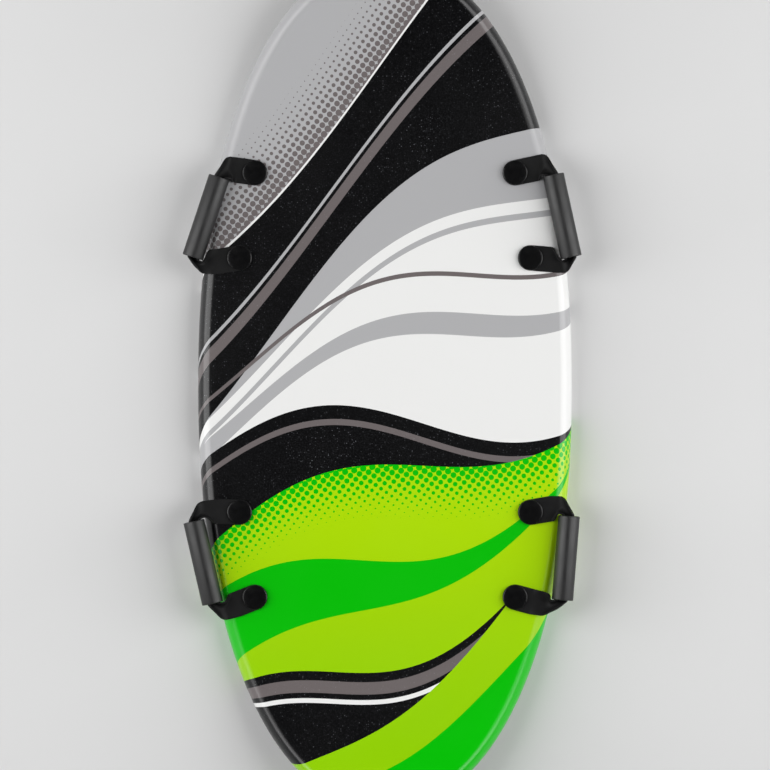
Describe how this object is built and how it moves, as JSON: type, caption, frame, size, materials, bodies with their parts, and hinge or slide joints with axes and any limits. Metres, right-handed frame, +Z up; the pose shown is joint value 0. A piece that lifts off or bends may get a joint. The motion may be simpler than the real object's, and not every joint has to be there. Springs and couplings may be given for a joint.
{
  "type": "foam sled",
  "caption": "Long oval foam snow sled with both ends turned up, a printed deck skin, a slick plastic bottom and strap handles with turning grip sleeves at the sides.",
  "frame": {"origin": "centre of the flat underside, on the ground", "axes": "+Y towards the nose, +X to the rider's right as they face the nose, +Z up from the deck"},
  "size_m": [0.5196, 1.0994, 0.0933],
  "materials": {
    "foam": "matte",
    "print_film": "satin",
    "slick": "gloss",
    "strap_web": "matte",
    "grip": "satin",
    "stud": "satin"
  },
  "bodies": {
    "board": {"foam_core": "foam", "deck_skin": "print_film", "slick_bottom": "slick", "strap_end_front_left_fore": "strap_web", "stud_cap_front_left_fore": "stud", "stud_screw_front_left_fore": "stud", "strap_end_front_left_aft": "strap_web", "stud_cap_front_left_aft": "stud", "stud_screw_front_left_aft": "stud", "strap_end_front_right_fore": "strap_web", "stud_cap_front_right_fore": "stud", "stud_screw_front_right_fore": "stud", "strap_end_front_right_aft": "strap_web", "stud_cap_front_right_aft": "stud", "stud_screw_front_right_aft": "stud", "strap_end_rear_left_fore": "strap_web", "stud_cap_rear_left_fore": "stud", "stud_screw_rear_left_fore": "stud", "strap_end_rear_left_aft": "strap_web", "stud_cap_rear_left_aft": "stud", "stud_screw_rear_left_aft": "stud", "strap_end_rear_right_fore": "strap_web", "stud_cap_rear_right_fore": "stud", "stud_screw_rear_right_fore": "stud", "strap_end_rear_right_aft": "strap_web", "stud_cap_rear_right_aft": "stud", "stud_screw_rear_right_aft": "stud"},
    "handle_front_left": {"strap_loop_front_left": "strap_web"},
    "grip_front_left": {"grip_sleeve_front_left": "grip"},
    "handle_front_right": {"strap_loop_front_right": "strap_web"},
    "grip_front_right": {"grip_sleeve_front_right": "grip"},
    "handle_rear_left": {"strap_loop_rear_left": "strap_web"},
    "grip_rear_left": {"grip_sleeve_rear_left": "grip"},
    "handle_rear_right": {"strap_loop_rear_right": "strap_web"},
    "grip_rear_right": {"grip_sleeve_rear_right": "grip"}
  },
  "joints": [
    {"name": "front_left_lift", "type": "hinge", "parent": "board", "child": "handle_front_left", "pos_m": [-0.20165, 0.2254, 0.0423], "axis": [0.1773, 0.9842, 0], "range_deg": [0, 105]},
    {"name": "front_left_grip_spin", "type": "hinge", "parent": "handle_front_left", "child": "grip_front_left", "pos_m": [-0.23326, 0.2186, 0.052], "axis": [0.3142, 0.9494, 0], "continuous": true},
    {"name": "front_right_lift", "type": "hinge", "parent": "board", "child": "handle_front_right", "pos_m": [0.20165, 0.2254, 0.0423], "axis": [0.1773, -0.9842, 0], "range_deg": [0, 105]},
    {"name": "front_right_grip_spin", "type": "hinge", "parent": "handle_front_right", "child": "grip_front_right", "pos_m": [0.23094, 0.22021, 0.052], "axis": [-0.2133, 0.977, 0], "continuous": true},
    {"name": "rear_left_lift", "type": "hinge", "parent": "board", "child": "handle_rear_left", "pos_m": [-0.20165, -0.2254, 0.0423], "axis": [-0.1773, 0.9842, 0], "range_deg": [0, 105]},
    {"name": "rear_left_grip_spin", "type": "hinge", "parent": "handle_rear_left", "child": "grip_rear_left", "pos_m": [-0.23681, -0.23102, 0.052], "axis": [-0.2235, 0.9747, 0], "continuous": true},
    {"name": "rear_right_lift", "type": "hinge", "parent": "board", "child": "handle_rear_right", "pos_m": [0.20165, -0.2254, 0.0423], "axis": [-0.1773, -0.9842, 0], "range_deg": [0, 105]},
    {"name": "rear_right_grip_spin", "type": "hinge", "parent": "handle_rear_right", "child": "grip_rear_right", "pos_m": [0.2356, -0.22532, 0.052], "axis": [0.0804, 0.9968, 0], "continuous": true}
  ]
}
